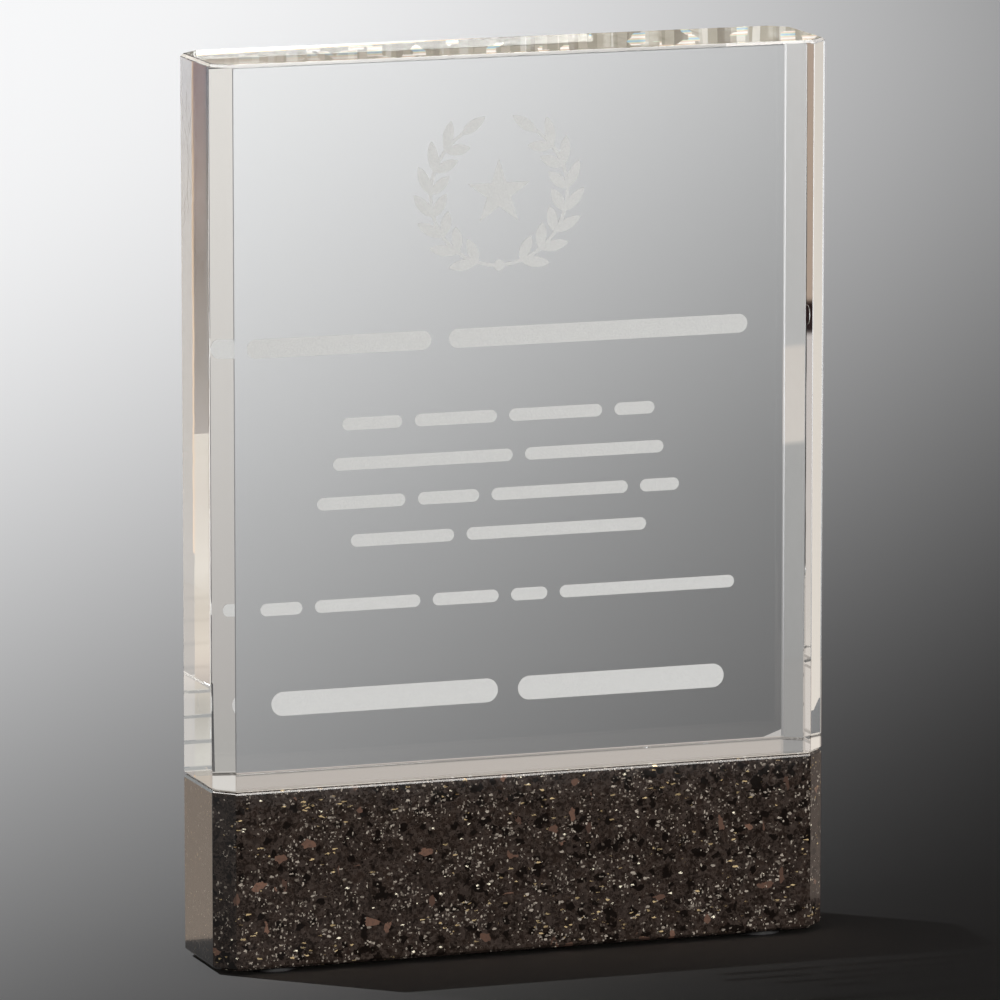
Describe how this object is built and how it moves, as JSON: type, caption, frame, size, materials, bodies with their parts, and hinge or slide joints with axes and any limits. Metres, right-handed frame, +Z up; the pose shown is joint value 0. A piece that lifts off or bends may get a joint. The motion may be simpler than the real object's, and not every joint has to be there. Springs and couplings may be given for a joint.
{
  "type": "crystal award",
  "caption": "Clear faceted crystal block with a frosted wreath, star and blank inscription bars on its rear face, bonded upright to a polished speckled granite base on small rubber feet.",
  "frame": {"origin": "on the surface that the award stands on, under the middle of the base", "axes": "+Z up, +X to the right of a reader who faces the front, +Y to the rear face that carries the engraving"},
  "size_m": [0.127, 0.0254, 0.1787],
  "materials": {
    "crystal": "clear optical crystal, flat polished, with frosted engraving on the rear face",
    "bond_film": "cured clear adhesive with a pearly look, seen only at the joint line",
    "granite": "polished near-black brown granite with pale, gold and copper flecks",
    "foot": "matt black moulded rubber",
    "foot_glue": "clear self-adhesive layer"
  },
  "bodies": {
    "root": {"crystal_block": "crystal", "bond_layer": "bond_film", "granite_base": "granite", "foot_front_left": "foot", "foot_front_right": "foot", "foot_rear_left": "foot", "foot_rear_right": "foot", "foot_glue_front_left": "foot_glue", "foot_glue_front_right": "foot_glue", "foot_glue_rear_left": "foot_glue", "foot_glue_rear_right": "foot_glue"}
  },
  "joints": []
}
